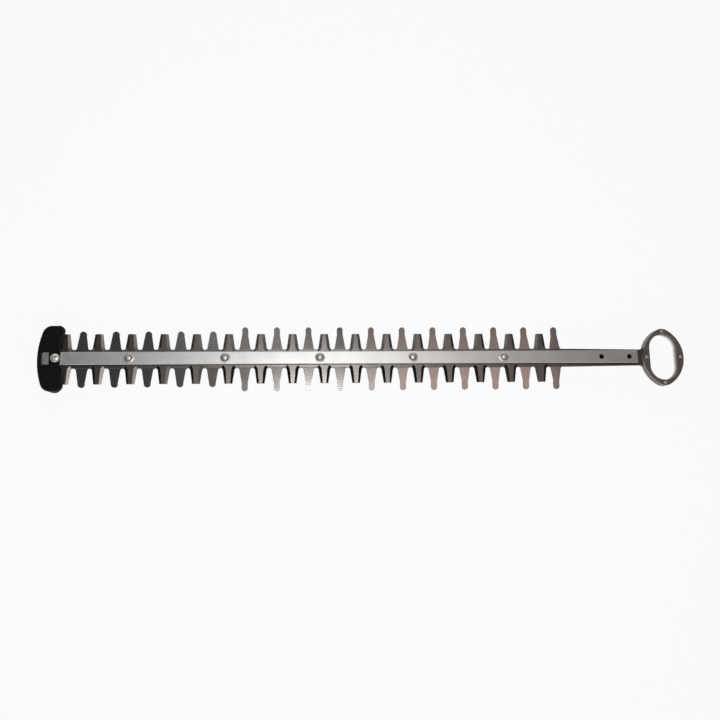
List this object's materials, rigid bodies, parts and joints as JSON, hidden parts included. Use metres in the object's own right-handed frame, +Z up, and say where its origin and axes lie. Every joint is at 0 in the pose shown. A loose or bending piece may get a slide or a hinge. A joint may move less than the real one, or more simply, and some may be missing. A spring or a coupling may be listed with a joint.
{
  "type": "hedge trimmer blade",
  "caption": "Double-sided hedge trimmer cutter bar: guide bar over two sliding toothed blades, oval drive yoke at one end and a moulded guard at the tip.",
  "frame": {"origin": "midway between the two gearbox mounting holes, on the guide bar's top face", "axes": "+X along the bar to the drive end, +Y across the blades, +Z up out of the bar's top face"},
  "size_m": [0.719, 0.0714, 0.0228],
  "materials": {
    "bar_steel": "bright drawn flat bar",
    "blade_steel": "hardened and ground, oiled",
    "yoke_steel": "pressed plate, oiled",
    "plated_steel": "bright zinc plate",
    "guard_plastic": "fine moulded grain"
  },
  "bodies": {
    "guide": {"guide_bar": "bar_steel", "blade_bolts": "plated_steel", "guide_collar_1": "plated_steel", "guide_collar_2": "plated_steel", "guide_collar_3": "plated_steel", "guide_collar_4": "plated_steel", "guide_collar_5": "plated_steel", "retaining_washers": "plated_steel", "lock_nuts": "plated_steel", "tip_guard": "guard_plastic", "tip_screw": "plated_steel", "tip_collar": "plated_steel", "tip_nut": "plated_steel"},
    "upper_blade": {"upper_blade": "blade_steel", "upper_yoke_plate": "yoke_steel", "upper_yoke_rivets": "plated_steel"},
    "lower_blade": {"lower_blade": "blade_steel", "lower_yoke_plate": "yoke_steel", "lower_yoke_rivets": "plated_steel"}
  },
  "joints": [
    {"name": "upper_blade_slide", "type": "slide", "parent": "guide", "child": "upper_blade", "axis": [1, 0, 0], "range_m": [-0.008, 0.008]},
    {"name": "lower_blade_slide", "type": "slide", "parent": "guide", "child": "lower_blade", "axis": [1, 0, 0], "range_m": [-0.008, 0.008]}
  ]
}
